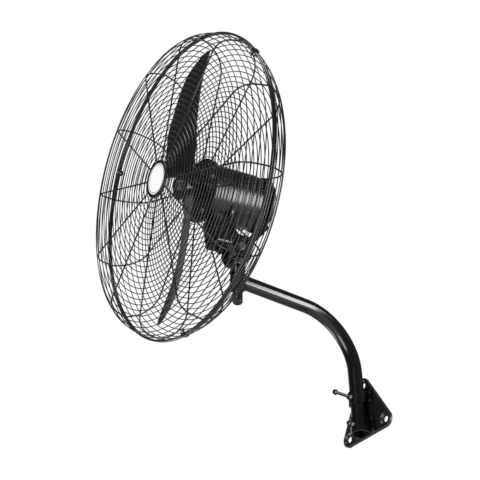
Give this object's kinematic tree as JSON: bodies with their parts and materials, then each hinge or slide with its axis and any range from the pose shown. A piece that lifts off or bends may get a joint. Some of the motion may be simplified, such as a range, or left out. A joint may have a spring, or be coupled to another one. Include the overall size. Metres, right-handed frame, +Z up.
{
  "type": "wall mounted fan",
  "caption": "Caged propeller fan head on a bent pipe arm that turns in a three-hole wall plate; the head pans and tilts.",
  "frame": {"origin": "centre of the circle through the three wall holes, on the wall face of the plate", "axes": "+Z up the wall, +Y into the wall, -Y towards the room, +X to the right for a viewer who faces the wall"},
  "size_m": [0.8249, 0.7004, 0.9726],
  "materials": {
    "black_steel": "gloss",
    "guard_wire": "gloss",
    "blade_steel": "satin",
    "zinc_steel": "satin",
    "yellow_zinc": "satin",
    "lamination": "matte",
    "copper_wire": "gloss",
    "black_plastic": "matte",
    "nylon": "matte",
    "white_plastic": "gloss"
  },
  "bodies": {
    "wall_bracket": {"wall_plate": "black_steel", "upper_saddle": "black_steel", "lower_saddle": "black_steel", "saddle_rivets": "black_steel", "clamp_weld_nuts": "black_steel", "lower_screw": "zinc_steel"},
    "clamp_screw": {"clamp_bolt": "zinc_steel"},
    "arm": {"arm_pipe": "black_steel", "post_sleeve": "black_steel", "sleeve_bushes": "nylon"},
    "pan_lock": {"sleeve_screw": "yellow_zinc"},
    "swivel": {"spindle": "zinc_steel", "thrust_washer": "zinc_steel", "spindle_cap": "black_plastic", "swivel_fork": "black_steel", "tilt_bolt": "yellow_zinc", "tilt_washers": "yellow_zinc", "tilt_nut": "yellow_zinc"},
    "head": {"tilt_bracket": "black_steel", "bracket_bolts": "zinc_steel", "motor_front_bell": "black_steel", "motor_barrel": "black_steel", "motor_rear_bell": "black_steel", "motor_bearings": "zinc_steel", "motor_tie_rods": "zinc_steel", "stator_core": "lamination", "stator_windings": "copper_wire", "switch_box": "black_steel", "box_lid": "black_steel", "box_screws": "zinc_steel", "run_capacitor": "black_plastic", "inlet_gland": "black_plastic", "speed_switch": "black_plastic", "rear_guard_plate": "guard_wire", "guard_screws": "zinc_steel", "rear_guard_spokes": "guard_wire", "rear_guard_rings": "guard_wire", "rear_guard_side_rings": "guard_wire", "rear_guard_rim": "guard_wire", "front_guard_spokes": "guard_wire", "front_guard_rings": "guard_wire", "front_guard_side_rings": "guard_wire", "front_guard_rim": "guard_wire", "rim_clips": "guard_wire", "clip_screws": "zinc_steel", "guard_centre_plate": "guard_wire", "badge_bezel": "black_plastic", "badge_disc": "white_plastic"},
    "knob": {"speed_knob": "black_plastic"},
    "rotor": {"rotor_shaft": "zinc_steel", "rotor_core": "lamination", "blade_spider": "blade_steel", "blade_upper": "blade_steel", "blade_lower": "blade_steel", "blade_rivets": "zinc_steel", "hub_nut": "zinc_steel", "hub_screw": "zinc_steel"}
  },
  "joints": [
    {"name": "arm_swivel", "type": "hinge", "parent": "wall_bracket", "child": "arm", "pos_m": [0, -0.028, 0], "axis": [0, 0, 1], "range_deg": [-50, 50]},
    {"name": "clamp_turn", "type": "hinge", "parent": "wall_bracket", "child": "clamp_screw", "pos_m": [0, -0.06, 0.0365], "axis": [0, 1, 0], "range_deg": [-180, 180]},
    {"name": "pan_lock_turn", "type": "hinge", "parent": "arm", "child": "pan_lock", "pos_m": [0.01879, -0.40184, 0.305], "axis": [0.9397, -0.342, 0], "range_deg": [-180, 180]},
    {"name": "head_pan", "type": "hinge", "parent": "arm", "child": "swivel", "pos_m": [0, -0.395, 0.268], "axis": [0, 0, 1], "range_deg": [-75, 75]},
    {"name": "head_tilt", "type": "hinge", "parent": "swivel", "child": "head", "pos_m": [0, -0.407, 0.35], "axis": [1, 0, 0], "range_deg": [-20, 12]},
    {"name": "blade_spin", "type": "hinge", "parent": "head", "child": "rotor", "pos_m": [0, -0.57121, 0.50382], "axis": [0, 0.9848, 0.1736], "continuous": true},
    {"name": "knob_turn", "type": "hinge", "parent": "head", "child": "knob", "pos_m": [-0.028, -0.45951, 0.39151], "axis": [1, 0, 0], "range_deg": [0, 135]}
  ]
}
